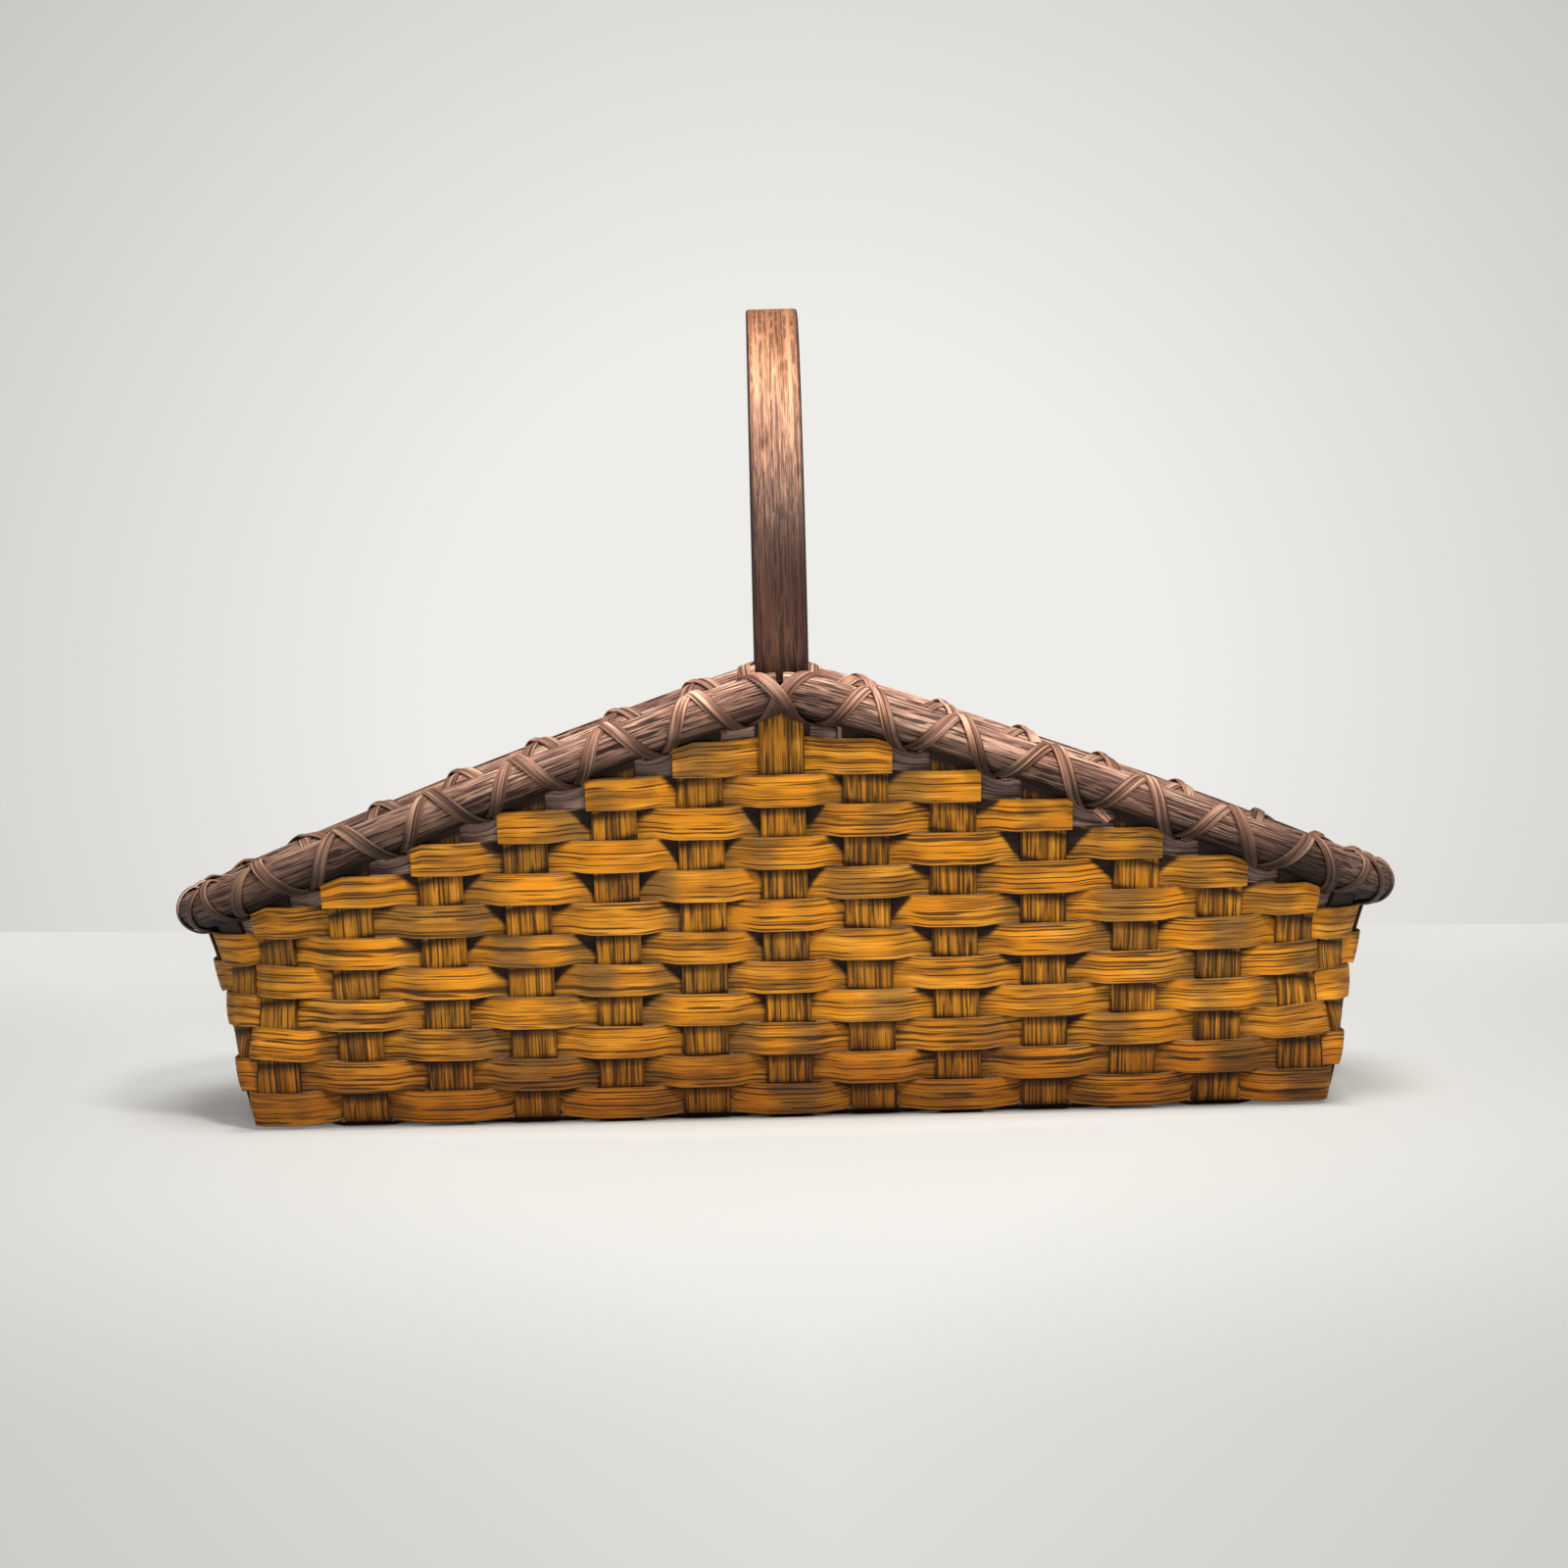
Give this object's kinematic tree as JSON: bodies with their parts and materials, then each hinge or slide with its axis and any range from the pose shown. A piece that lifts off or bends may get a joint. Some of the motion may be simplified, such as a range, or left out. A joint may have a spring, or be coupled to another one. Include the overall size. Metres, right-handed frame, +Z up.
{
  "type": "basket",
  "caption": "Oblong splint basket with gabled long sides, half round cross lashed rims and a fixed hoop handle, for carrying market goods.",
  "frame": {"origin": "middle of the footprint on the ground", "axes": "+X along the basket's length, +Z up, the front faces -Y"},
  "size_m": [0.5216, 0.2738, 0.339],
  "materials": {
    "stake_splint": "painted splint, worn to the wood",
    "weaver_splint": "painted splint, worn to the wood",
    "rim": "half round wood, dark stain",
    "lashing": "thin splint, stained",
    "handle": "bent wood strap, stained and rubbed"
  },
  "bodies": {
    "root": {"cross_stake_01": "stake_splint", "cross_stake_02": "stake_splint", "cross_stake_03": "stake_splint", "cross_stake_04": "stake_splint", "cross_stake_05": "stake_splint", "cross_stake_06": "stake_splint", "cross_stake_07": "stake_splint", "cross_stake_08": "stake_splint", "cross_stake_09": "stake_splint", "cross_stake_10": "stake_splint", "cross_stake_11": "stake_splint", "cross_stake_12": "stake_splint", "cross_stake_13": "stake_splint", "long_stake_01": "stake_splint", "long_stake_02": "stake_splint", "long_stake_03": "stake_splint", "long_stake_04": "stake_splint", "long_stake_05": "stake_splint", "weaver_row_01": "weaver_splint", "weaver_row_02": "weaver_splint", "weaver_row_03": "weaver_splint", "weaver_row_04": "weaver_splint", "weaver_row_05": "weaver_splint", "weaver_row_06": "weaver_splint", "front_gable_row_07": "weaver_splint", "back_gable_row_07": "weaver_splint", "front_gable_row_08": "weaver_splint", "back_gable_row_08": "weaver_splint", "front_gable_row_09": "weaver_splint", "back_gable_row_09": "weaver_splint", "front_gable_row_10": "weaver_splint", "back_gable_row_10": "weaver_splint", "front_gable_row_11": "weaver_splint", "back_gable_row_11": "weaver_splint", "front_gable_row_12": "weaver_splint", "back_gable_row_12": "weaver_splint", "outer_rim_right": "rim", "outer_rim_left": "rim", "inner_rim_right": "rim", "inner_rim_left": "rim", "lashing_under": "lashing", "lashing_over": "lashing", "handle": "handle"}
  },
  "joints": []
}
